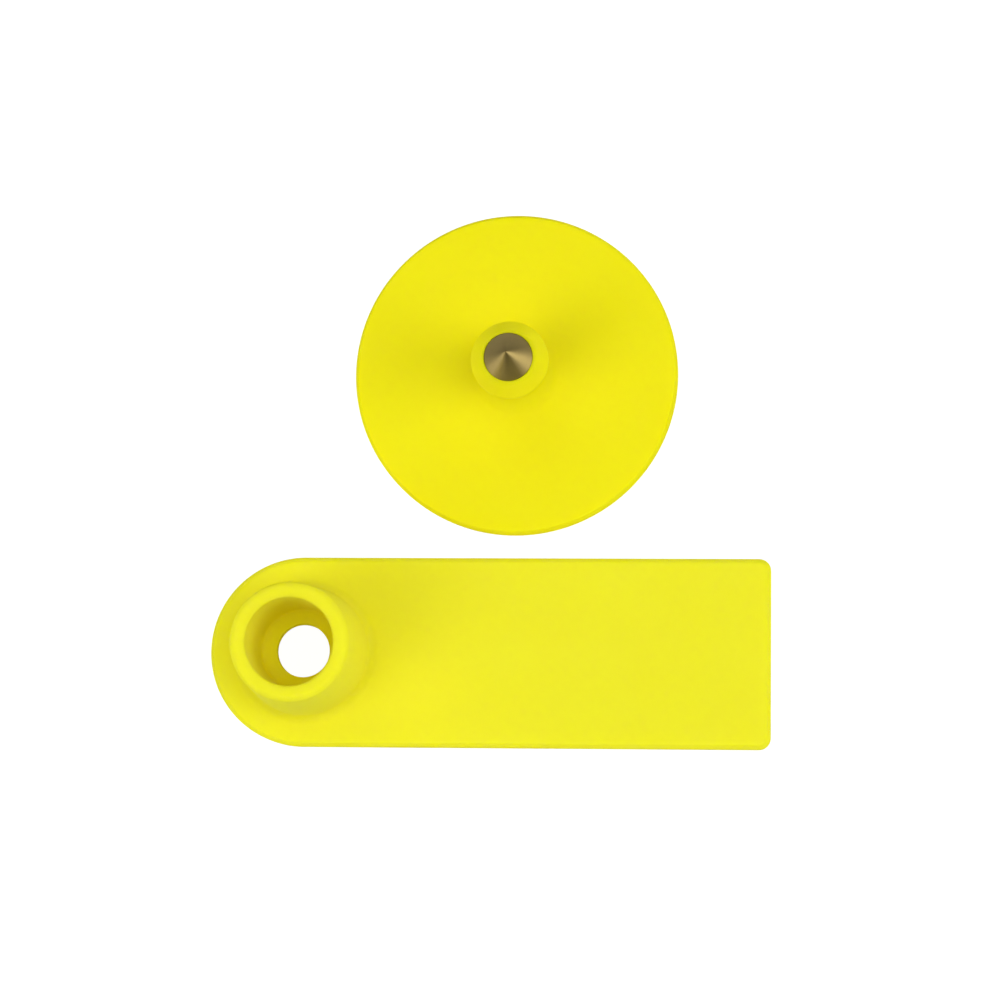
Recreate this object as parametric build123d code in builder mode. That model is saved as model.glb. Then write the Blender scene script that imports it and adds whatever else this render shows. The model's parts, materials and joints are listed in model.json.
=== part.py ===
from build123d import *
import os
from math import atan, cos, sin

# Two-piece livestock ear tag, laid out open: a flag with its socket boss, and a round button
# whose stud carries a metal tip. Both halves lie on their flat backs on the plane Z = 0.
# Millimetres. +X runs along the flag, away from its boss, +Y goes from the flag to the button,
# and +Z is up. The origin is the middle of the pair's footprint.
# To close the tag the stud goes in from the flag's back, and its head snaps over the ledge.

# Flag panel
panel_length = 52.0
panel_width = 17.6
panel_thickness = 1.5
panel_corner_radius = 1.1
panel_edge_chamfer = 0.3
panel_back_chamfer = 0.2

# Socket boss, which stands round the stud hole, in the middle of the panel's round end
boss_height = 12.5
rim_wall = 1.4
boss_taper = 0.6
boss_root_radius = 0.8
rim_outer_radius = 0.4
rim_inner_chamfer = 0.2

# Inside the boss: the socket, the ledge that holds the head, and the stud hole through it
socket_diameter = 8.0
socket_draft = 0.1
socket_floor_chamfer = 0.3
ledge_height = 2.3
stud_hole_diameter = 4.9
throat_length = 1.0
hole_edge_chamfer = 0.12
lead_in_diameter = 7.0

# Button disc, which rises a little from its rim to the stud
disc_diameter = 30.2
disc_rim_thickness = 1.3
disc_rise = 0.5
disc_edge_chamfer = 0.3
disc_back_chamfer = 0.2

# Stud, from the disc's face to the collar round the metal tip
ear_gap = 4.5
neck_play = 0.2
neck_root_radius = 1.9
head_play = 0.3
head_overlap = 1.1
head_land = 0.45
head_cone_height = 1.75
head_barb = 0.15
head_edge_radius = 0.25
collar_wall = 0.36
collar_lip = 0.12

# Metal tip: a turned cone on a flange, with a grooved shank that the stud is moulded round
tip_diameter = 4.44
tip_cone_height = 3.2
tip_point_radius = 0.08
tip_flange_thickness = 0.35
tip_shank_diameter = 3.0
tip_shank_length = 2.1
tip_groove_depth = 0.4
tip_groove_width = 0.8

# Blind bore in the button's back, for the pin of the applicator
pin_bore_diameter = 2.4
pin_mouth_chamfer = 0.4

# How the halves lie beside each other
lay_gap = 2.2
lay_shift = 2.2

# Places in the lay-out
footprint_depth = panel_width + lay_gap + disc_diameter
flag_y = (panel_width - footprint_depth) / 2
boss_x = (panel_width - panel_length) / 2
button_x = lay_shift
button_y = (footprint_depth - disc_diameter) / 2
flag_section = Plane(origin=(boss_x, flag_y, 0), x_dir=(1, 0, 0), z_dir=(0, -1, 0))
button_section = Plane(origin=(button_x, button_y, 0), x_dir=(1, 0, 0), z_dir=(0, -1, 0))
boss_axis = Axis((boss_x, flag_y, 0), (0, 0, 1))
stud_axis = Axis((button_x, button_y, 0), (0, 0, 1))

# Radii and heights that follow
socket_radius = socket_diameter / 2
hole_radius = stud_hole_diameter / 2
rim_radius = socket_radius + rim_wall
boss_root = rim_radius + boss_taper
hub_z = disc_rim_thickness + disc_rise
shoulder_z = hub_z + ear_gap + ledge_height + head_play
collar_z = shoulder_z + head_land + head_cone_height
tip_base_z = collar_z - collar_lip
flange_z = tip_base_z - tip_flange_thickness
shank_z = flange_z - tip_shank_length
neck_radius = hole_radius - neck_play
head_radius = hole_radius + head_overlap
tip_radius = tip_diameter / 2
collar_radius = tip_radius + collar_wall
shank_radius = tip_shank_diameter / 2
pin_radius = pin_bore_diameter / 2

# The rounded point of the cone: a small ball that its slope runs into
cone_half_angle = atan(tip_radius / tip_cone_height)
point_ball_z = tip_base_z + tip_cone_height - tip_point_radius / sin(cone_half_angle)
point_edge = (
    tip_point_radius * cos(cone_half_angle),
    point_ball_z + tip_point_radius * sin(cone_half_angle),
)


def corner_at(sketch, place):
    """The corner of a section nearest to a place given as (radius, height)."""
    return sketch.vertices().sort_by_distance(place)[0]


# Flag: the panel, one end round and the other square with eased corners
with BuildPart() as flag:
    with BuildSketch(Plane.XY) as panel_outline:
        with BuildLine() as panel_edge:
            near = flag_y - panel_width / 2
            far = flag_y + panel_width / 2
            far_side = Line((boss_x, far), (panel_length / 2, far))
            square_end = Line(far_side @ 1, (panel_length / 2, near))
            near_side = Line(square_end @ 1, (boss_x, near))
            ThreePointArc(near_side @ 1, (-panel_length / 2, flag_y), far_side @ 0)
        make_face()
        fillet(panel_outline.vertices().group_by(Axis.X)[-1], panel_corner_radius)
    extrude(amount=panel_thickness)
    chamfer(flag.faces().sort_by(Axis.Z)[-1].edges(), panel_edge_chamfer)
    chamfer(flag.faces().sort_by(Axis.Z)[0].edges(), panel_back_chamfer)

    # The boss: a drafted post whose root runs out into the panel
    with BuildSketch(flag_section):
        with BuildLine():
            Polyline(
                (0, 0),
                (boss_root, 0),
                (boss_root, panel_thickness),
                (rim_radius, boss_height),
                (0, boss_height),
                close=True,
            )
        make_face()
    revolve(axis=boss_axis)
    boss_foot = (boss_x, flag_y, panel_thickness)
    fillet(flag.edges().filter_by(GeomType.CIRCLE).sort_by_distance(boss_foot)[0], boss_root_radius)
    fillet(flag.edges().group_by(Axis.Z)[-1], rim_outer_radius)

    # The way through: lead-in cone from the back, throat, ledge and socket
    with BuildSketch(flag_section) as way_through:
        with BuildLine():
            floor_corner = (socket_radius - socket_draft, ledge_height)
            throat_corner = (hole_radius, ledge_height)
            Polyline(
                (0, 0),
                (lead_in_diameter / 2, 0),
                (hole_radius, ledge_height - throat_length),
                throat_corner,
                floor_corner,
                (socket_radius, boss_height),
                (0, boss_height),
                close=True,
            )
        make_face()
        chamfer(corner_at(way_through, floor_corner), socket_floor_chamfer)
        chamfer(corner_at(way_through, throat_corner), hole_edge_chamfer)
    revolve(axis=boss_axis, mode=Mode.SUBTRACT)
    chamfer(flag.faces().sort_by(Axis.Z)[-1].edges().sort_by(SortBy.RADIUS)[0], rim_inner_chamfer)

# Metal tip, turned in one piece
with BuildPart() as tip:
    with BuildSketch(button_section) as tip_section:
        with BuildLine():
            groove_radius = shank_radius - tip_groove_depth
            groove_low = shank_z + (tip_shank_length - tip_groove_width) / 2
            Polyline(
                (0, shank_z),
                (shank_radius, shank_z),
                (shank_radius, groove_low),
                (groove_radius, groove_low),
                (groove_radius, groove_low + tip_groove_width),
                (shank_radius, groove_low + tip_groove_width),
                (shank_radius, flange_z),
                (tip_radius, flange_z),
                (tip_radius, tip_base_z),
                point_edge,
            )
            point = TangentArc(
                point_edge,
                (0, point_ball_z + tip_point_radius),
                tangent=(-tip_radius, tip_cone_height),
            )
            Line(point @ 1, (0, shank_z))
        make_face()
    revolve(axis=stud_axis)

# Button: the disc, its stud with the undercut head, moulded round the metal tip
with BuildPart() as button:
    with BuildSketch(button_section) as stud_section:
        with BuildLine():
            rim_low = (disc_diameter / 2, 0)
            rim_high = (disc_diameter / 2, disc_rim_thickness)
            neck_root = (neck_radius, hub_z)
            shoulder_edge = (head_radius, shoulder_z)
            land_edge = (head_radius, shoulder_z + head_land)
            Polyline(
                (0, 0),
                rim_low,
                rim_high,
                neck_root,
                (neck_radius, shoulder_z + head_barb),
                shoulder_edge,
                land_edge,
                (collar_radius, collar_z),
                (0, collar_z),
                close=True,
            )
        make_face()
        chamfer(corner_at(stud_section, rim_low), disc_back_chamfer)
        chamfer(corner_at(stud_section, rim_high), disc_edge_chamfer)
        fillet(corner_at(stud_section, neck_root), neck_root_radius)
        fillet(corner_at(stud_section, land_edge), head_edge_radius)
    revolve(axis=stud_axis)

    # The recess that the cone stands in, inside the collar's lip
    with BuildSketch(Plane.XY.offset(tip_base_z)):
        with Locations((button_x, button_y)):
            Circle(tip_radius)
    extrude(amount=collar_lip, mode=Mode.SUBTRACT)

    # The pin bore, up to the foot of the shank, and its eased mouth
    with BuildSketch(Plane.XY):
        with Locations((button_x, button_y)):
            Circle(pin_radius)
    extrude(amount=shank_z, mode=Mode.SUBTRACT)
    chamfer(button.faces().sort_by(Axis.Z)[0].edges().sort_by(SortBy.RADIUS)[0], pin_mouth_chamfer)
    add(tip.part, mode=Mode.SUBTRACT)

flag.part.label = "flag"
button.part.label = "button"
tip.part.label = "metal_tip"

os.makedirs("parts", exist_ok=True)
export_step(flag.part, "parts/flag.step")
export_step(button.part, "parts/button.step")
export_step(tip.part, "parts/metal_tip.step")
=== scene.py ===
import json
import math

import bmesh
import bpy
from bpy.props import FloatProperty, FloatVectorProperty, PointerProperty
from mathutils import Matrix, Vector


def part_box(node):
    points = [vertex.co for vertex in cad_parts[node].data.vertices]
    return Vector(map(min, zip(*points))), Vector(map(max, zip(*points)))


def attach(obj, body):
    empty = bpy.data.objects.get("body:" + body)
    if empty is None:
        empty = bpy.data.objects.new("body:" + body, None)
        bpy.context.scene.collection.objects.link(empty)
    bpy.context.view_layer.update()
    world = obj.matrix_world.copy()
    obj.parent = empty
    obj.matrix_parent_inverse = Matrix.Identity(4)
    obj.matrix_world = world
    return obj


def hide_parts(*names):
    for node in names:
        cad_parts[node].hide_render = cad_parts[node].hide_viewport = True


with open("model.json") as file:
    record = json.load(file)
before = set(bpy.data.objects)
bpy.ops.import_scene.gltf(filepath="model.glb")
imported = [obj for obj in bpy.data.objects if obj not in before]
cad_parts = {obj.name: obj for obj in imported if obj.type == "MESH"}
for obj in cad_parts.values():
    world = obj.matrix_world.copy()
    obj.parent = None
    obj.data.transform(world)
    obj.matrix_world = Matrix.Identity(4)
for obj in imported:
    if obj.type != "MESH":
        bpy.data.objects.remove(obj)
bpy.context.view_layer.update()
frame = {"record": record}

bl_info = {
    "name": "Livestock ear tag",
    "version": (1, 0, 0),
    "blender": (4, 5, 0),
    "location": "3D View > Sidebar > Ear Tag",
    "description": "Models a two-part livestock ear tag laid open, with its moulded and turned finishes",
    "category": "Add Mesh",
}

MM = 0.001

# Places no further apart than NEAR count as one place. A spun section's points are merged within MERGE.
NEAR = 0.001 * MM
MERGE = 0.0002 * MM

# A face lies level if the upright part of its normal is larger than this
LEVEL_NORMAL = 0.999

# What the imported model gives: the boxes of its nodes and the places and sizes of its mounts
FLAG_LOW, FLAG_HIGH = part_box("flag")
BUTTON_LOW, BUTTON_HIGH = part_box("button")
TIP_LOW, TIP_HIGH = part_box("metal_tip")
MOUNTS = {mount["name"]: mount for mount in frame["record"]["mounts"]}
BOSS_AXIS = Vector((MOUNTS["stud_hole"]["pos_m"][0], MOUNTS["stud_hole"]["pos_m"][1], 0))
STUD_AXIS = Vector((MOUNTS["pin_bore"]["pos_m"][0], MOUNTS["pin_bore"]["pos_m"][1], 0))

# How finely round forms are divided: steps in a whole turn of a moulding and of the tip
TURN_STEPS = 160
TIP_STEPS = 96

# Parts in a corner of the panel's round end and of its square end
ROUND_END_PARTS = 80
SQUARE_END_PARTS = 10

# Parts in the rounding of a small edge, a lip, the boss's rim, the boss's foot and the neck's flare
EDGE_PARTS = 3
LIP_PARTS = 4
RIM_PARTS = 6
FOOT_PARTS = 8
FLARE_PARTS = 12

# Faces that meet at less than this angle are shaded as one smooth surface
SMOOTH_BELOW = math.radians(32)

# The bevels along the upper edges turn halfway from level to upright
BEVEL_TURN = math.radians(45)

# How far the boss's section runs out on the panel past the foot, in root radii
FOOT_MARGIN = 1.3

# Patterns of the surfaces, as scales of noise: clouds of tint, patches of gloss, the mould's grain, stains
CLOUD_SCALE = 120.0
PATCH_SCALE = 900.0
GRAIN_SCALE = 5200.0
STAIN_SCALE = 700.0

# Lowest and highest brightness of a mottled tint, as shares of its colour
PLASTIC_TINTS = (0.975, 1.02)
METAL_TINTS = (0.9, 1.1)

# How much the roughness varies about its middle, from lowest to highest
PLASTIC_GLOSS_RANGE = 0.16
METAL_GLOSS_RANGE = 0.2

# Weights of patches and clouds beside the grain in the plastic's relief, and the depths of both reliefs
PATCH_RELIEF = 1.5
CLOUD_RELIEF = 2.0
PLASTIC_RELIEF_DEPTH = 0.006 * MM
CUT_DEPTH = 0.004 * MM

# The plastic: how light bends into it, how little it mirrors, and how far red, green and blue spread in it
PLASTIC_IOR = 1.46
PLASTIC_SPECULAR = 0.01
GLOW_SPREAD = (0.9, 0.9, 0.05)

# The metal's gloss is drawn out across the rings of its cuts
METAL_ANISOTROPY = 0.95
QUARTER_TURN = 0.25

# The floor as light meets it, and as it is seen: a glow of its own and a grey that takes the tag's shadow
FLOOR_WHITE = (0.9, 0.9, 0.9, 1)
FLOOR_GREY = (0.2, 0.2, 0.2, 1)
FLOOR_GLOW = 0.94
WHITE = (1, 1, 1, 1)


class EarTagFlagSizes(bpy.types.PropertyGroup):
    """Sizes of the flag, the half that carries the socket boss."""

    panel_length: FloatProperty(
        name="Panel length", description="Length of the flag over its round end",
        default=FLAG_HIGH.x - FLAG_LOW.x, subtype="DISTANCE", unit="LENGTH",
    )
    panel_width: FloatProperty(
        name="Panel width", description="Width of the flag, which is its round end's diameter",
        default=FLAG_HIGH.y - FLAG_LOW.y, subtype="DISTANCE", unit="LENGTH",
    )
    panel_thickness: FloatProperty(
        name="Panel thickness", description="Thickness of the flat panel",
        default=1.5 * MM, subtype="DISTANCE", unit="LENGTH",
    )
    corner_radius: FloatProperty(
        name="Corner radius", description="Radius of the two corners of the square end, seen from above",
        default=1.1 * MM, subtype="DISTANCE", unit="LENGTH",
    )
    edge_bevel: FloatProperty(
        name="Edge bevel", description="Width of the bevel along the panel's upper edge",
        default=0.38 * MM, subtype="DISTANCE", unit="LENGTH",
    )
    edge_radius: FloatProperty(
        name="Edge radius", description="Softening of the bevel's two edges",
        default=0.12 * MM, subtype="DISTANCE", unit="LENGTH",
    )
    back_edge_radius: FloatProperty(
        name="Back edge radius", description="Rounding along the panel's lower edge, at the mould's parting",
        default=0.2 * MM, subtype="DISTANCE", unit="LENGTH",
    )
    boss_height: FloatProperty(
        name="Boss height", description="Height of the boss's rim above the flag's back",
        default=FLAG_HIGH.z, subtype="DISTANCE", unit="LENGTH",
    )
    rim_wall: FloatProperty(
        name="Rim wall", description="Wall of the boss at its rim",
        default=1.4 * MM, subtype="DISTANCE", unit="LENGTH",
    )
    boss_taper: FloatProperty(
        name="Boss taper", description="How much wider the boss is at its foot than at its rim, in radius",
        default=0.6 * MM, subtype="DISTANCE", unit="LENGTH",
    )
    root_radius: FloatProperty(
        name="Root radius", description="Fillet between the boss and the panel",
        default=0.8 * MM, subtype="DISTANCE", unit="LENGTH",
    )
    rim_outer_radius: FloatProperty(
        name="Rim outer radius", description="Rounding of the outer edge of the boss's rim",
        default=0.65 * MM, subtype="DISTANCE", unit="LENGTH",
    )
    rim_inner_radius: FloatProperty(
        name="Rim inner radius", description="Rounding of the inner edge of the boss's rim",
        default=0.2 * MM, subtype="DISTANCE", unit="LENGTH",
    )
    socket_diameter: FloatProperty(
        name="Socket diameter", description="Inside diameter of the boss at its rim",
        default=8.0 * MM, subtype="DISTANCE", unit="LENGTH",
    )
    socket_draft: FloatProperty(
        name="Socket draft", description="How much narrower the socket is at its floor, in radius",
        default=0.1 * MM, subtype="DISTANCE", unit="LENGTH",
    )
    socket_floor_radius: FloatProperty(
        name="Socket floor radius", description="Rounding between the socket's wall and its floor",
        default=0.3 * MM, subtype="DISTANCE", unit="LENGTH",
    )
    ledge_height: FloatProperty(
        name="Ledge height", description="Height of the socket's floor above the flag's back",
        default=2.3 * MM, subtype="DISTANCE", unit="LENGTH",
    )
    hole_diameter: FloatProperty(
        name="Stud hole diameter", description="Diameter of the throat that the stud's neck turns in",
        default=2 * MOUNTS["stud_hole"]["dims"]["r_mm"] * MM, subtype="DISTANCE", unit="LENGTH",
    )
    hole_edge_radius: FloatProperty(
        name="Hole edge radius", description="Rounding of the throat's upper edge",
        default=0.12 * MM, subtype="DISTANCE", unit="LENGTH",
    )
    throat_length: FloatProperty(
        name="Throat length", description="Length of the throat below the ledge",
        default=1.0 * MM, subtype="DISTANCE", unit="LENGTH",
    )
    lead_in_diameter: FloatProperty(
        name="Lead-in diameter", description="Diameter of the lead-in cone on the flag's back",
        default=7.0 * MM, subtype="DISTANCE", unit="LENGTH",
    )


class EarTagButtonSizes(bpy.types.PropertyGroup):
    """Sizes of the button, the half with the stud."""

    disc_diameter: FloatProperty(
        name="Disc diameter", description="Diameter of the button's disc",
        default=BUTTON_HIGH.x - BUTTON_LOW.x, subtype="DISTANCE", unit="LENGTH",
    )
    rim_thickness: FloatProperty(
        name="Rim thickness", description="Thickness of the disc at its rim",
        default=1.3 * MM, subtype="DISTANCE", unit="LENGTH",
    )
    disc_rise: FloatProperty(
        name="Disc rise", description="How much the disc's face rises from its rim to the stud",
        default=0.5 * MM, subtype="DISTANCE", unit="LENGTH",
    )
    bevel_width: FloatProperty(
        name="Bevel width", description="Width of the bevel along the disc's upper edge, seen from above",
        default=0.28 * MM, subtype="DISTANCE", unit="LENGTH",
    )
    bevel_height: FloatProperty(
        name="Bevel height", description="Height of the bevel along the disc's upper edge",
        default=0.5 * MM, subtype="DISTANCE", unit="LENGTH",
    )
    edge_radius: FloatProperty(
        name="Edge radius", description="Softening of the bevel's two edges",
        default=0.12 * MM, subtype="DISTANCE", unit="LENGTH",
    )
    back_edge_radius: FloatProperty(
        name="Back edge radius", description="Rounding along the disc's lower edge, at the mould's parting",
        default=0.2 * MM, subtype="DISTANCE", unit="LENGTH",
    )
    stud_height: FloatProperty(
        name="Stud height", description="Height of the collar above the button's back",
        default=BUTTON_HIGH.z, subtype="DISTANCE", unit="LENGTH",
    )
    neck_diameter: FloatProperty(
        name="Neck diameter", description="Diameter of the neck that goes through the ear",
        default=2 * MOUNTS["ear_neck"]["dims"]["r_mm"] * MM, subtype="DISTANCE", unit="LENGTH",
    )
    neck_root_radius: FloatProperty(
        name="Neck root radius", description="Flare between the neck and the disc",
        default=1.9 * MM, subtype="DISTANCE", unit="LENGTH",
    )
    head_diameter: FloatProperty(
        name="Head diameter", description="Diameter of the barbed head",
        default=7.1 * MM, subtype="DISTANCE", unit="LENGTH",
    )
    head_land: FloatProperty(
        name="Head land", description="Height of the upright band at the head's widest place",
        default=0.45 * MM, subtype="DISTANCE", unit="LENGTH",
    )
    head_cone_height: FloatProperty(
        name="Head cone height", description="Height of the head's slope up to the collar",
        default=1.75 * MM, subtype="DISTANCE", unit="LENGTH",
    )
    head_barb: FloatProperty(
        name="Head barb", description="How far the shoulder's edge hangs below its root",
        default=0.15 * MM, subtype="DISTANCE", unit="LENGTH",
    )
    head_edge_radius: FloatProperty(
        name="Head edge radius", description="Rounding between the head's band and its slope",
        default=0.25 * MM, subtype="DISTANCE", unit="LENGTH",
    )
    collar_wall: FloatProperty(
        name="Collar wall", description="Width of the plastic lip round the metal tip",
        default=0.36 * MM, subtype="DISTANCE", unit="LENGTH",
    )
    collar_lip: FloatProperty(
        name="Collar lip", description="Height of the lip above the foot of the metal cone",
        default=0.12 * MM, subtype="DISTANCE", unit="LENGTH",
    )
    collar_fall: FloatProperty(
        name="Collar fall", description="How much lower the lip's top lies at its outer edge",
        default=0.3 * MM, subtype="DISTANCE", unit="LENGTH",
    )
    collar_edge_radius: FloatProperty(
        name="Collar edge radius", description="Rounding of the lip's outer edge",
        default=0.5 * MM, subtype="DISTANCE", unit="LENGTH",
    )
    collar_inner_radius: FloatProperty(
        name="Collar inner radius", description="Rounding of the lip's inner edge",
        default=0.05 * MM, subtype="DISTANCE", unit="LENGTH",
    )
    pin_bore_diameter: FloatProperty(
        name="Pin bore diameter", description="Diameter of the blind bore for the applicator's pin",
        default=2 * MOUNTS["pin_bore"]["dims"]["r_mm"] * MM, subtype="DISTANCE", unit="LENGTH",
    )
    pin_mouth: FloatProperty(
        name="Pin mouth", description="Chamfer at the mouth of the pin bore",
        default=0.4 * MM, subtype="DISTANCE", unit="LENGTH",
    )


class EarTagTipSizes(bpy.types.PropertyGroup):
    """Sizes of the turned metal tip."""

    tip_diameter: FloatProperty(
        name="Tip diameter", description="Diameter of the cone's foot",
        default=TIP_HIGH.x - TIP_LOW.x, subtype="DISTANCE", unit="LENGTH",
    )
    cone_height: FloatProperty(
        name="Cone height", description="Height of the cone, up to where its sides would meet",
        default=3.2 * MM, subtype="DISTANCE", unit="LENGTH",
    )
    point_radius: FloatProperty(
        name="Point radius", description="Radius of the rounded point",
        default=0.08 * MM, subtype="DISTANCE", unit="LENGTH",
    )
    flange_thickness: FloatProperty(
        name="Flange thickness", description="Thickness of the flange below the cone",
        default=0.35 * MM, subtype="DISTANCE", unit="LENGTH",
    )
    shank_diameter: FloatProperty(
        name="Shank diameter", description="Diameter of the shank that the stud is moulded round",
        default=3.0 * MM, subtype="DISTANCE", unit="LENGTH",
    )
    groove_depth: FloatProperty(
        name="Groove depth", description="Depth of the shank's groove",
        default=0.4 * MM, subtype="DISTANCE", unit="LENGTH",
    )
    groove_width: FloatProperty(
        name="Groove width", description="Width of the shank's groove",
        default=0.8 * MM, subtype="DISTANCE", unit="LENGTH",
    )


class EarTagFinishes(bpy.types.PropertyGroup):
    """Colours and surface finishes."""

    # The flag is the same plastic as the button. Its colour is the button's yellow made paler, with more
    # green and blue: the real yellow plus a painted sheen over the whole flag.
    flag_colour_with_sheen: FloatVectorProperty(
        name="Flag colour", description="Colour of the flag's plastic", subtype="COLOR",
        size=3, min=0, max=1, default=(0.985, 0.862, 0.033),
    )
    button_colour: FloatVectorProperty(
        name="Button colour", description="Colour of the button's plastic", subtype="COLOR",
        size=3, min=0, max=1, default=(0.985, 0.838, 0.013),
    )
    metal_colour: FloatVectorProperty(
        name="Metal colour", description="Colour of the tip's metal", subtype="COLOR",
        size=3, min=0, max=1, default=(0.42, 0.315, 0.112),
    )
    plastic_roughness: FloatProperty(
        name="Plastic roughness", description="Middle roughness of the moulded faces",
        default=0.6, min=0, max=1, subtype="FACTOR",
    )
    flag_glow: FloatProperty(
        name="Flag glow", description="How far light spreads inside the flag's plastic",
        default=1.5 * MM, subtype="DISTANCE", unit="LENGTH",
    )
    button_glow: FloatProperty(
        name="Button glow", description="How far light spreads inside the button's plastic",
        default=0.7 * MM, subtype="DISTANCE", unit="LENGTH",
    )
    metal_roughness: FloatProperty(
        name="Metal roughness", description="Middle roughness of the turned metal",
        default=0.4, min=0, max=1, subtype="FACTOR",
    )
    cut_pitch: FloatProperty(
        name="Cut pitch", description="Distance between the turning marks on the metal",
        default=0.09 * MM, subtype="DISTANCE", unit="LENGTH",
    )


class EarTagStudio(bpy.types.PropertyGroup):
    """The floor, the lamps and the camera."""

    room_level: FloatProperty(
        name="Room level", description="Light from all round, as a share of a plain level",
        default=0.06, min=0, max=2, subtype="FACTOR",
    )
    back_level: FloatProperty(
        name="Back level", description="What the back lamp adds on a level face, as a share",
        default=0.13, min=0, max=2, subtype="FACTOR",
    )
    left_level: FloatProperty(
        name="Left level", description="What the left lamp adds on a level face, as a share",
        default=0.2, min=0, max=2, subtype="FACTOR",
    )
    right_level: FloatProperty(
        name="Right level", description="What the right lamp adds on a level face, as a share",
        default=0.285, min=0, max=2, subtype="FACTOR",
    )
    low_left_level: FloatProperty(
        name="Low left level", description="What the low left lamp adds on a level face, as a share",
        default=0.115, min=0, max=2, subtype="FACTOR",
    )
    low_right_level: FloatProperty(
        name="Low right level", description="What the low right lamp adds on a level face, as a share",
        default=0.185, min=0, max=2, subtype="FACTOR",
    )
    back_azimuth: FloatProperty(
        name="Back azimuth", description="Direction of the back lamp, from +X towards +Y",
        default=math.radians(115), subtype="ANGLE", unit="ROTATION",
    )
    left_azimuth: FloatProperty(
        name="Left azimuth", description="Direction of the two left lamps, from +X towards +Y",
        default=math.radians(212), subtype="ANGLE", unit="ROTATION",
    )
    right_azimuth: FloatProperty(
        name="Right azimuth", description="Direction of the two right lamps, from +X towards +Y",
        default=math.radians(-8), subtype="ANGLE", unit="ROTATION",
    )
    back_elevation: FloatProperty(
        name="Back elevation", description="Height of the back lamp above the horizon",
        default=math.radians(58), subtype="ANGLE", unit="ROTATION",
    )
    left_elevation: FloatProperty(
        name="Left elevation", description="Height of the left lamp above the horizon",
        default=math.radians(62), subtype="ANGLE", unit="ROTATION",
    )
    right_elevation: FloatProperty(
        name="Right elevation", description="Height of the right lamp above the horizon",
        default=math.radians(75), subtype="ANGLE", unit="ROTATION",
    )
    low_elevation: FloatProperty(
        name="Low elevation", description="Height of the two low lamps above the horizon",
        default=math.radians(35), subtype="ANGLE", unit="ROTATION",
    )
    light_distance: FloatProperty(
        name="Light distance", description="Distance of the lamps and glints from the tag",
        default=1.2, subtype="DISTANCE", unit="LENGTH",
    )
    light_spread: FloatProperty(
        name="Light spread", description="Half the angle that a lamp takes up, seen from the tag",
        default=math.radians(19), subtype="ANGLE", unit="ROTATION",
    )
    glint_share: FloatProperty(
        name="Glint share", description="Level of a glint, as a share of its low lamp's level",
        default=0.85, min=0, max=4, subtype="FACTOR",
    )
    glint_spread: FloatProperty(
        name="Glint spread", description="Half the angle that a glint takes up, seen from the tag",
        default=math.radians(34), subtype="ANGLE", unit="ROTATION",
    )
    floor_size: FloatProperty(
        name="Floor size", description="Side of the square floor",
        default=40.0, subtype="DISTANCE", unit="LENGTH",
    )
    camera_aim: FloatVectorProperty(
        name="Camera aim", description="Place on the floor that the camera looks at",
        size=2, default=(0.732 * MM, -1.818 * MM), subtype="TRANSLATION", unit="LENGTH",
    )
    camera_offset: FloatVectorProperty(
        name="Camera offset", description="How far to the side of its aim the camera stands",
        size=2, default=(27.307 * MM, -42.352 * MM), subtype="TRANSLATION", unit="LENGTH",
    )
    camera_height: FloatProperty(
        name="Camera height", description="Height of the camera above the floor",
        default=340 * MM, subtype="DISTANCE", unit="LENGTH",
    )
    camera_roll: FloatProperty(
        name="Camera roll", description="Turn of the camera about its line of sight",
        default=math.radians(0.676), subtype="ANGLE", unit="ROTATION",
    )
    seen_width: FloatProperty(
        name="Seen width", description="Width of what the camera shows at the distance of the floor",
        default=93.334 * MM, subtype="DISTANCE", unit="LENGTH",
    )


def start_piece():
    """Leaves edit mode and deselects everything, so that the next operators act on their own piece."""
    if bpy.context.object and bpy.context.object.mode != "OBJECT":
        bpy.ops.object.mode_set(mode="OBJECT")
    bpy.ops.object.select_all(action="DESELECT")


def edited_mesh():
    """The mesh that is being edited."""
    return bmesh.from_edit_mesh(bpy.context.object.data)


def select(kind, test):
    """In edit mode, selects the vertices, edges or faces that pass a test, and nothing else."""
    bpy.ops.mesh.select_mode(type=kind)
    bpy.ops.mesh.select_all(action="DESELECT")
    mesh = edited_mesh()
    items = {"VERT": mesh.verts, "EDGE": mesh.edges, "FACE": mesh.faces}[kind]
    chosen = [item for item in items if test(item)]
    if not chosen:
        raise RuntimeError(f"nothing to select on {bpy.context.object.name}")
    for item in chosen:
        item.select_set(True)
    mesh.select_flush_mode()
    bmesh.update_edit_mesh(bpy.context.object.data)


def lies_at_height(height):
    """A test for edges that lie level at a height."""
    return lambda edge: all(abs(vertex.co.z - height) < NEAR for vertex in edge.verts)


def name_piece(name):
    """Names the new piece and its mesh, and gives the piece."""
    piece = bpy.context.object
    piece.name = name
    piece.data.name = name
    return piece


def draw_section(name, axis, corners):
    """Draws half a section as a line of edges beside an upright axis. Corners are (radius, height)."""
    start_piece()
    radius, height = corners[0]
    bpy.ops.mesh.primitive_plane_add(size=MM, location=axis + Vector((radius, 0, height)))
    bpy.ops.object.transform_apply(location=True, rotation=True, scale=True)
    piece = name_piece(name)
    bpy.ops.object.mode_set(mode="EDIT")
    bpy.ops.mesh.select_mode(type="VERT")
    bpy.ops.mesh.select_all(action="SELECT")
    bpy.ops.mesh.merge(type="CENTER")
    for (radius, height), (next_radius, next_height) in zip(corners, corners[1:]):
        step = (next_radius - radius, 0, next_height - height)
        bpy.ops.mesh.extrude_vertices_move(TRANSFORM_OT_translate={"value": step})
    return piece


def round_corner(axis, corner, radius, parts):
    """Rounds one corner of a drawn section to a radius."""
    place = axis + Vector((corner[0], 0, corner[1]))
    select("VERT", lambda vertex: (vertex.co - place).length < NEAR)
    vertex = next(v for v in edited_mesh().verts if v.select)
    ways = [(edge.other_vert(vertex).co - vertex.co).normalized() for edge in vertex.link_edges]
    reach = radius / math.tan(ways[0].angle(ways[1]) / 2)
    bevel("VERTICES", reach, parts)


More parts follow.
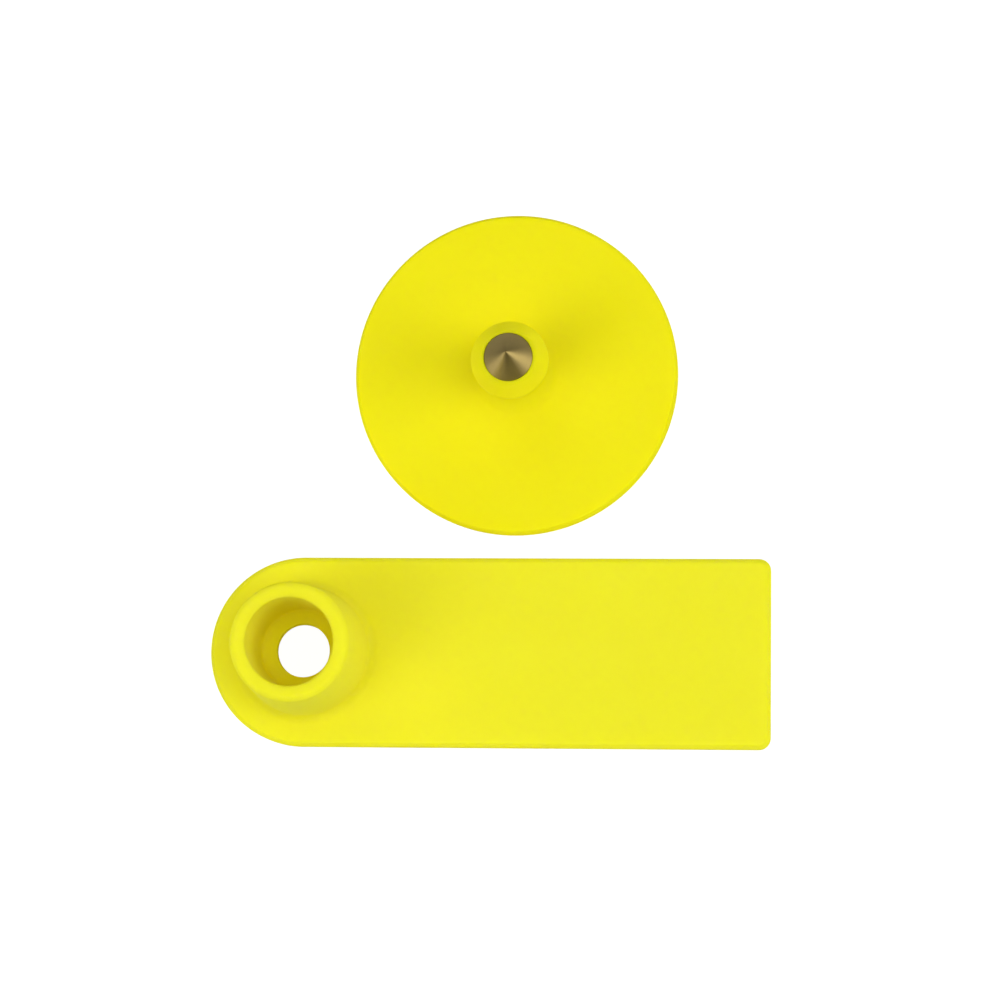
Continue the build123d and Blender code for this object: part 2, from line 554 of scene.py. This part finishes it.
def bevel(what, offset, parts):
    """Bevels what is selected, with a round profile."""
    bpy.ops.mesh.bevel(offset=offset, segments=parts, profile=0.5, affect=what, clamp_overlap=True)


def turn_piece(name, axis, corners, roundings, steps):
    """Draws a section, rounds its corners, spins it once round its axis and closes the seam and the poles.

    Roundings are (corner, radius, parts)."""
    piece = draw_section(name, axis, corners)
    for corner, radius, parts in roundings:
        round_corner(axis, corner, radius, parts)
    bpy.ops.mesh.select_all(action="SELECT")
    bpy.ops.mesh.spin(steps=steps, angle=math.tau, center=axis, axis=(0, 0, 1), use_auto_merge=True)
    bpy.ops.mesh.select_all(action="SELECT")
    bpy.ops.mesh.remove_doubles(threshold=MERGE)
    return piece


def bevel_level_edges(height, offset, parts):
    """Bevels the edges of the piece that lie level at a height."""
    select("EDGE", lies_at_height(height))
    bevel("EDGES", offset, parts)


def finish_piece(piece, node, material):
    """Finishes a modelled piece: normals out, smooth shading, its material and its place in the frame."""
    bpy.ops.mesh.select_all(action="SELECT")
    bpy.ops.mesh.normals_make_consistent(inside=False)
    open_edges = [edge for edge in edited_mesh().edges if not edge.is_manifold]
    if open_edges:
        raise RuntimeError(f"{piece.name} has {len(open_edges)} open edges")
    bpy.ops.object.mode_set(mode="OBJECT")
    bpy.ops.object.shade_smooth_by_angle(angle=SMOOTH_BELOW)
    bpy.ops.object.modifier_add(type="WEIGHTED_NORMAL")
    weighting = piece.modifiers[-1]
    weighting.keep_sharp = True
    bpy.ops.object.modifier_apply(modifier=weighting.name)
    piece.data.materials.append(material)
    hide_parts(node)
    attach(piece, "root")


class Signal:
    """An output in a node tree. Python's operators on it add Math nodes."""

    def __init__(self, nodes, socket):
        self.nodes = nodes
        self.socket = socket

    def math(self, operation, *values):
        """Adds a Math node."""
        return self.nodes.value("ShaderNodeMath", {"operation": operation}, dict(enumerate(values)))

    def __add__(self, other):
        return self.math("ADD", self, other)

    def __radd__(self, other):
        return self.math("ADD", other, self)

    def __mul__(self, other):
        return self.math("MULTIPLY", self, other)

    def __rmul__(self, other):
        return self.math("MULTIPLY", other, self)

    def __truediv__(self, other):
        return self.math("DIVIDE", self, other)

    def __rtruediv__(self, other):
        return self.math("DIVIDE", other, self)

    def larger(self, other):
        """The larger of two values."""
        return self.math("MAXIMUM", self, other)


class Nodes:
    """The node tree of a material or of the world."""

    def __init__(self, owner):
        owner.use_nodes = True
        self.tree = owner.node_tree
        self.tree.nodes.clear()

    def node(self, kind, settings=None, inputs=None):
        """Adds a node, makes its settings, then sets its sockets or links them, by name or by number."""
        made = self.tree.nodes.new(kind)
        for key, setting in (settings or {}).items():
            setattr(made, key, setting)
        for key, value in (inputs or {}).items():
            if isinstance(value, Signal):
                self.tree.links.new(value.socket, made.inputs[key])
            else:
                made.inputs[key].default_value = value
        return made

    def value(self, kind, settings=None, inputs=None, output=0):
        """Adds a node and gives one of its outputs."""
        return Signal(self, self.node(kind, settings, inputs).outputs[output])

    def noise(self, place, scale, detail):
        """Adds a noise pattern and gives its value."""
        return self.value("ShaderNodeTexNoise", None, {"Vector": place, "Scale": scale, "Detail": detail})

    def mottle(self, factor, colour, tints):
        """Varies a colour between two levels of brightness. A Mix node takes colours at sockets 6 and 7."""
        low, high = tints
        colours = {"Factor": factor, 6: shade(colour, low), 7: shade(colour, high)}
        return self.value("ShaderNodeMix", {"data_type": "RGBA"}, colours, output=2)

    def relief(self, height, strength, depth):
        """Adds a bump from a height and gives its normal."""
        return self.value(
            "ShaderNodeBump", None, {"Strength": strength, "Distance": depth, "Height": height}
        )

    def finish(self, kind, shader):
        """Links the shader to the tree's output."""
        self.node(kind, None, {"Surface": shader})


def new_material(name):
    """A new material and its empty node tree."""
    material = bpy.data.materials.new(name)
    return material, Nodes(material)


def shade(colour, level):
    """A colour at a level of brightness, with its alpha."""
    return tuple(min(1.0, channel * level) for channel in colour) + (1.0,)


def moulded_plastic(name, colour, glow, finishes):
    """Matt moulded plastic that light spreads in, with cloudy tint, uneven gloss and the mould's grain."""
    material, nodes = new_material(name)
    place = nodes.value("ShaderNodeTexCoord", output="Object")
    clouds = nodes.noise(place, CLOUD_SCALE, detail=3.0)
    patches = nodes.noise(place, PATCH_SCALE, detail=4.0)
    grain = nodes.noise(place, GRAIN_SCALE, detail=2.0)
    smoothest = finishes.plastic_roughness - PLASTIC_GLOSS_RANGE / 2
    height = grain + patches * PATCH_RELIEF + clouds * CLOUD_RELIEF
    shader = nodes.value(
        "ShaderNodeBsdfPrincipled",
        {"subsurface_method": "RANDOM_WALK"},
        {
            "Base Color": nodes.mottle(clouds, colour, PLASTIC_TINTS),
            "Roughness": patches * PLASTIC_GLOSS_RANGE + smoothest,
            "Normal": nodes.relief(height, strength=0.35, depth=PLASTIC_RELIEF_DEPTH),
            "IOR": PLASTIC_IOR,
            "Specular IOR Level": PLASTIC_SPECULAR,
            "Subsurface Weight": 1.0,
            "Subsurface Radius": GLOW_SPREAD,
            "Subsurface Scale": glow,
        },
    )
    nodes.finish("ShaderNodeOutputMaterial", shader)
    return material


def turned_metal(name, finishes):
    """Turned metal, a little stained, with rings of fine cuts one above the other."""
    material, nodes = new_material(name)
    place = nodes.value("ShaderNodeTexCoord", output="Object")
    height = nodes.value("ShaderNodeSeparateXYZ", None, {"Vector": place}, output="Z")
    cuts = nodes.value(
        "ShaderNodeTexNoise", {"noise_dimensions": "1D"},
        {"W": height / finishes.cut_pitch, "Scale": 1.0, "Detail": 3.0},
    )
    stains = nodes.noise(place, STAIN_SCALE, detail=4.0)
    smoothest = finishes.metal_roughness - METAL_GLOSS_RANGE / 2
    shader = nodes.value(
        "ShaderNodeBsdfPrincipled",
        None,
        {
            "Base Color": nodes.mottle(stains, finishes.metal_colour, METAL_TINTS),
            "Metallic": 1.0,
            "Roughness": cuts * METAL_GLOSS_RANGE + smoothest,
            "Anisotropic": METAL_ANISOTROPY,
            "Anisotropic Rotation": QUARTER_TURN,
            "Normal": nodes.relief(cuts, strength=0.5, depth=CUT_DEPTH),
        },
    )
    nodes.finish("ShaderNodeOutputMaterial", shader)
    return material


class EARTAG_OT_flag(bpy.types.Operator):
    """Models the flag: the panel with its round end, and the socket boss that stands on it."""

    bl_idname = "eartag.flag"
    bl_label = "Model the flag"

    def execute(self, context):
        sizes = context.scene.ear_tag_flag
        finishes = context.scene.ear_tag_finishes
        panel = self.model_panel(sizes)
        boss = self.model_boss(sizes)
        self.join(panel, boss, sizes)
        # The flag's material takes the paler colour, which carries the painted sheen.
        material = moulded_plastic("flag_plastic", finishes.flag_colour_with_sheen, finishes.flag_glow, finishes)
        finish_piece(panel, "flag", material)
        return {"FINISHED"}

    def model_panel(self, sizes):
        """The panel: a plane with rounded corners, drawn up to its thickness, its edges eased.

        Its level faces are left out, for join to fill round the boss."""
        start_piece()
        round_end_radius = sizes.panel_width / 2
        middle = BOSS_AXIS + Vector((sizes.panel_length / 2 - round_end_radius, 0, 0))
        bpy.ops.mesh.primitive_plane_add(size=sizes.panel_width, location=middle)
        bpy.ops.object.transform_apply(location=True, rotation=True, scale=True)
        panel = name_piece("flag_moulding")
        bpy.ops.object.mode_set(mode="EDIT")
        bpy.ops.mesh.select_all(action="SELECT")
        stretch = sizes.panel_length / sizes.panel_width
        bpy.ops.transform.resize(value=(stretch, 1, 1), center_override=middle)
        select("VERT", lambda vertex: vertex.co.x < middle.x)
        bevel("VERTICES", round_end_radius, ROUND_END_PARTS)
        bpy.ops.mesh.select_all(action="SELECT")
        bpy.ops.mesh.remove_doubles(threshold=NEAR)
        square_end = middle.x + sizes.panel_length / 2
        select("VERT", lambda vertex: vertex.co.x > square_end - NEAR)
        bevel("VERTICES", sizes.corner_radius, SQUARE_END_PARTS)
        bpy.ops.mesh.select_all(action="SELECT")
        up = {"value": (0, 0, sizes.panel_thickness)}
        bpy.ops.mesh.extrude_region_move(TRANSFORM_OT_translate=up)
        softening = sizes.edge_radius * math.tan(BEVEL_TURN / 2)
        bevel_level_edges(sizes.panel_thickness, sizes.edge_bevel, 1)
        bevel_level_edges(sizes.panel_thickness - sizes.edge_bevel, softening, EDGE_PARTS)
        bevel_level_edges(sizes.panel_thickness, softening, EDGE_PARTS)
        bevel_level_edges(0, sizes.back_edge_radius, EDGE_PARTS)
        select("FACE", lambda face: abs(face.normal.z) > LEVEL_NORMAL)
        bpy.ops.mesh.delete(type="ONLY_FACE")
        return panel

    def model_boss(self, sizes):
        """The boss and the way through it: one section, spun, open where it meets the panel's faces."""
        hole = sizes.hole_diameter / 2
        rim_inner = sizes.socket_diameter / 2
        rim_outer = rim_inner + sizes.rim_wall
        foot_outer = rim_outer + sizes.boss_taper
        foot = (foot_outer, sizes.panel_thickness)
        rim_edge = (rim_outer, sizes.boss_height)
        mouth_edge = (rim_inner, sizes.boss_height)
        floor_corner = (rim_inner - sizes.socket_draft, sizes.ledge_height)
        hole_edge = (hole, sizes.ledge_height)
        corners = [
            (foot_outer + FOOT_MARGIN * sizes.root_radius, sizes.panel_thickness),
            foot,
            rim_edge,
            mouth_edge,
            floor_corner,
            hole_edge,
            (hole, sizes.ledge_height - sizes.throat_length),
            (sizes.lead_in_diameter / 2, 0),
        ]
        roundings = (
            (foot, sizes.root_radius, FOOT_PARTS),
            (rim_edge, sizes.rim_outer_radius, RIM_PARTS),
            (mouth_edge, sizes.rim_inner_radius, LIP_PARTS),
            (floor_corner, sizes.socket_floor_radius, LIP_PARTS),
            (hole_edge, sizes.hole_edge_radius, EDGE_PARTS),
        )
        return turn_piece("boss", BOSS_AXIS, corners, roundings, TURN_STEPS)

    def join(self, panel, boss, sizes):
        """Joins the boss to the panel and fills the faces between their open edges."""
        bpy.ops.object.mode_set(mode="OBJECT")
        bpy.ops.object.select_all(action="DESELECT")
        boss.select_set(True)
        panel.select_set(True)
        bpy.context.view_layer.objects.active = panel
        bpy.ops.object.join()
        bpy.ops.object.mode_set(mode="EDIT")
        for height in (sizes.panel_thickness, 0):
            level = lies_at_height(height)
            select("EDGE", lambda edge: edge.is_boundary and level(edge))
            bpy.ops.mesh.fill(use_beauty=True)


class EARTAG_OT_button(bpy.types.Operator):
    """Models the button: the disc, the flared neck, the barbed head and the seat of the metal tip."""

    bl_idname = "eartag.button"
    bl_label = "Model the button"

    def execute(self, context):
        sizes = context.scene.ear_tag_button
        tip = context.scene.ear_tag_tip
        finishes = context.scene.ear_tag_finishes
        disc = sizes.disc_diameter / 2
        neck = sizes.neck_diameter / 2
        head = sizes.head_diameter / 2
        pin = sizes.pin_bore_diameter / 2
        seat = tip.tip_diameter / 2
        shank = tip.shank_diameter / 2
        collar = seat + sizes.collar_wall
        top = sizes.stud_height
        shoulder = top - sizes.head_cone_height - sizes.head_land
        flange = top - sizes.collar_lip - tip.flange_thickness
        back_edge = (disc, 0)
        root = (neck, sizes.rim_thickness + sizes.disc_rise)
        land_edge = (head, shoulder + sizes.head_land)
        collar_edge = (collar, top - sizes.collar_fall)
        collar_inside = (seat, top)
        slope = sizes.disc_rise / (disc - neck)
        edge_low = (disc, sizes.rim_thickness - sizes.bevel_height)
        edge_high = (disc - sizes.bevel_width, sizes.rim_thickness + sizes.bevel_width * slope)
        corners = [
            (pin, TIP_LOW.z),
            (pin, sizes.pin_mouth),
            (pin + sizes.pin_mouth, 0),
            back_edge,
            edge_low,
            edge_high,
            root,
            (neck, shoulder + sizes.head_barb),
            (head, shoulder),
            land_edge,
            collar_edge,
            collar_inside,
            (seat, flange),
            (shank, flange),
            (shank, TIP_LOW.z),
            (pin, TIP_LOW.z),
        ]
        roundings = (
            (back_edge, sizes.back_edge_radius, EDGE_PARTS),
            (edge_low, sizes.edge_radius, EDGE_PARTS),
            (edge_high, sizes.edge_radius, EDGE_PARTS),
            (root, sizes.neck_root_radius, FLARE_PARTS),
            (land_edge, sizes.head_edge_radius, LIP_PARTS),
            (collar_edge, sizes.collar_edge_radius, LIP_PARTS),
            (collar_inside, sizes.collar_inner_radius, EDGE_PARTS),
        )
        button = turn_piece("button_moulding", STUD_AXIS, corners, roundings, TURN_STEPS)
        material = moulded_plastic("button_plastic", finishes.button_colour, finishes.button_glow, finishes)
        finish_piece(button, "button", material)
        return {"FINISHED"}


class EARTAG_OT_metal_tip(bpy.types.Operator):
    """Models the turned metal tip: the cone, its flange and the grooved shank in the stud."""

    bl_idname = "eartag.metal_tip"
    bl_label = "Model the metal tip"

    def execute(self, context):
        sizes = context.scene.ear_tag_tip
        finishes = context.scene.ear_tag_finishes
        button = context.scene.ear_tag_button
        foot = sizes.tip_diameter / 2
        shank = sizes.shank_diameter / 2
        groove = shank - sizes.groove_depth
        cone_foot = button.stud_height - button.collar_lip
        flange = cone_foot - sizes.flange_thickness
        groove_low = (TIP_LOW.z + flange - sizes.groove_width) / 2
        apex = cone_foot + sizes.cone_height
        half_angle = math.atan(foot / sizes.cone_height)
        ball = apex - sizes.point_radius / math.sin(half_angle)
        point = (
            sizes.point_radius * math.cos(half_angle),
            ball + sizes.point_radius * math.sin(half_angle),
        )
        corners = [
            (0, TIP_LOW.z),
            (shank, TIP_LOW.z),
            (shank, groove_low),
            (groove, groove_low),
            (groove, groove_low + sizes.groove_width),
            (shank, groove_low + sizes.groove_width),
            (shank, flange),
            (foot, flange),
            (foot, cone_foot),
            point,
            (0, ball + sizes.point_radius),
        ]
        tip = turn_piece("tip_turning", STUD_AXIS, corners, (), TIP_STEPS)
        finish_piece(tip, "metal_tip", turned_metal("tip_metal", finishes))
        return {"FINISHED"}


class EARTAG_OT_studio(bpy.types.Operator):
    """Sets up the white floor, the room's light, the lamps and the camera above the tag.

    The three high lamps don't show in gloss. The two low ones do, each with a wider glint that shows there
    alone, and they give the metal cone its bright sectors."""

    bl_idname = "eartag.studio"
    bl_label = "Set up the studio"

    def execute(self, context):
        studio = context.scene.ear_tag_studio
        context.scene.view_settings.view_transform = "Standard"
        self.lay_floor(studio)
        self.light_room(context.scene, studio)
        high_lamps = {
            "back": (studio.back_azimuth, studio.back_elevation, studio.back_level),
            "left": (studio.left_azimuth, studio.left_elevation, studio.left_level),
            "right": (studio.right_azimuth, studio.right_elevation, studio.right_level),
        }
        for side, (azimuth, elevation, level) in high_lamps.items():
            lamp = self.add_light(f"{side}_lamp", studio, (azimuth, elevation), level, studio.light_spread)
            lamp.visible_glossy = False
        low_lamps = {
            "left": ((studio.left_azimuth, studio.low_elevation), studio.low_left_level),
            "right": ((studio.right_azimuth, studio.low_elevation), studio.low_right_level),
        }
        for side, (direction, level) in low_lamps.items():
            self.add_light(f"low_{side}_lamp", studio, direction, level, studio.light_spread)
        for side, (direction, level) in low_lamps.items():
            glint_level = studio.glint_share * level
            glint = self.add_light(f"{side}_glint", studio, direction, glint_level, studio.glint_spread)
            glint.visible_diffuse = False
        self.add_camera(context.scene, studio)
        return {"FINISHED"}

    def lay_floor(self, studio):
        """A white floor. What is seen of it is mostly its own glow, and the rest takes the shadow."""
        start_piece()
        bpy.ops.mesh.primitive_plane_add(size=studio.floor_size, location=(0, 0, 0))
        floor = name_piece("floor")
        material, nodes = new_material("white_floor")
        rays = nodes.node("ShaderNodeLightPath")
        camera_ray = Signal(nodes, rays.outputs["Is Camera Ray"])
        glossy_ray = Signal(nodes, rays.outputs["Is Glossy Ray"])
        transmission_ray = Signal(nodes, rays.outputs["Is Transmission Ray"])
        seen = camera_ray.larger(glossy_ray).larger(transmission_ray)
        plain = nodes.value("ShaderNodeBsdfDiffuse", None, {"Color": FLOOR_WHITE})
        shadowed = nodes.value("ShaderNodeBsdfDiffuse", None, {"Color": FLOOR_GREY})
        glow = nodes.value("ShaderNodeEmission", None, {"Color": WHITE, "Strength": FLOOR_GLOW})
        shown = nodes.value("ShaderNodeAddShader", None, {0: glow, 1: shadowed})
        shader = nodes.value("ShaderNodeMixShader", None, {0: seen, 1: plain, 2: shown})
        nodes.finish("ShaderNodeOutputMaterial", shader)
        floor.data.materials.append(material)

    def light_room(self, scene, studio):
        """Even white light from all round."""
        world = bpy.data.worlds.new("room")
        scene.world = world
        nodes = Nodes(world)
        light = nodes.value("ShaderNodeBackground", None, {"Color": WHITE, "Strength": studio.room_level})
        nodes.finish("ShaderNodeOutputWorld", light)

    def add_light(self, name, studio, direction, level, spread):
        """A round light in a direction, given as azimuth and elevation.

        The level is what it adds on a white face that lies level. The spread is half the angle that it
        takes up, seen from the tag."""
        azimuth, elevation = direction
        towards = Vector(
            (
                math.cos(azimuth) * math.cos(elevation),
                math.sin(azimuth) * math.cos(elevation),
                math.sin(elevation),
            )
        )
        start_piece()
        bpy.ops.object.light_add(type="AREA", location=towards * studio.light_distance)
        light = bpy.context.object
        light.name = name
        light.rotation_euler = towards.to_track_quat("Z", "Y").to_euler()
        light.data.shape = "DISK"
        light.data.size = 2 * studio.light_distance * math.tan(spread)
        # A level face gets the lamp's energy times the sine of its elevation, over its reach squared
        reach = math.pi * studio.light_distance / math.cos(spread)
        light.data.energy = level * reach**2 / math.sin(elevation)
        light.visible_camera = False
        return light

    def add_camera(self, scene, studio):
        """The camera high above the tag, a little to the right and to the flag's side, aimed at the floor.

        The floor's +Y is upwards in the picture, but for the camera's roll."""
        aim = Vector((*studio.camera_aim, 0))
        eye = aim + Vector((*studio.camera_offset, studio.camera_height))
        look = (aim - eye).normalized()
        right = look.cross(Vector((0, 1, 0))).normalized()
        up = right.cross(look)
        turn = Matrix.Rotation(studio.camera_roll, 3, -look)
        right = turn @ right
        up = turn @ up
        start_piece()
        bpy.ops.object.camera_add(location=eye)
        camera = bpy.context.object
        camera.name = "camera"
        camera.rotation_euler = Matrix((right, up, -look)).transposed().to_euler()
        camera.data.lens = camera.data.sensor_width * (aim - eye).length / studio.seen_width
        camera.data.clip_end = 2 * studio.floor_size
        scene.camera = camera


class EARTAG_PT_sidebar(bpy.types.Panel):
    """Lists the steps that make the ear tag, and its sizes, finishes and studio."""

    bl_idname = "EARTAG_PT_sidebar"
    bl_label = "Livestock ear tag"
    bl_space_type = "VIEW_3D"
    bl_region_type = "UI"
    bl_category = "Ear Tag"

    def draw(self, context):
        for step in STEPS:
            self.layout.operator(step.bl_idname)
        for group_name in GROUPS:
            box = self.layout.box()
            group = getattr(context.scene, group_name)
            for prop_name in type(group).__annotations__:
                box.prop(group, prop_name)


GROUPS = {
    "ear_tag_flag": EarTagFlagSizes,
    "ear_tag_button": EarTagButtonSizes,
    "ear_tag_tip": EarTagTipSizes,
    "ear_tag_finishes": EarTagFinishes,
    "ear_tag_studio": EarTagStudio,
}
STEPS = (EARTAG_OT_flag, EARTAG_OT_button, EARTAG_OT_metal_tip, EARTAG_OT_studio)
CLASSES = (*GROUPS.values(), *STEPS, EARTAG_PT_sidebar)


def register():
    """Registers the classes and gives each scene its groups of settings."""
    for each in CLASSES:
        bpy.utils.register_class(each)
    for group_name, group in GROUPS.items():
        setattr(bpy.types.Scene, group_name, PointerProperty(type=group))


def unregister():
    """Takes away what register added."""
    for group_name in GROUPS:
        delattr(bpy.types.Scene, group_name)
    for each in reversed(CLASSES):
        bpy.utils.unregister_class(each)


def main():
    """Makes the tag and its studio."""
    register()
    bpy.ops.eartag.flag()
    bpy.ops.eartag.button()
    bpy.ops.eartag.metal_tip()
    bpy.ops.eartag.studio()


if __name__ == "__main__":
    main()
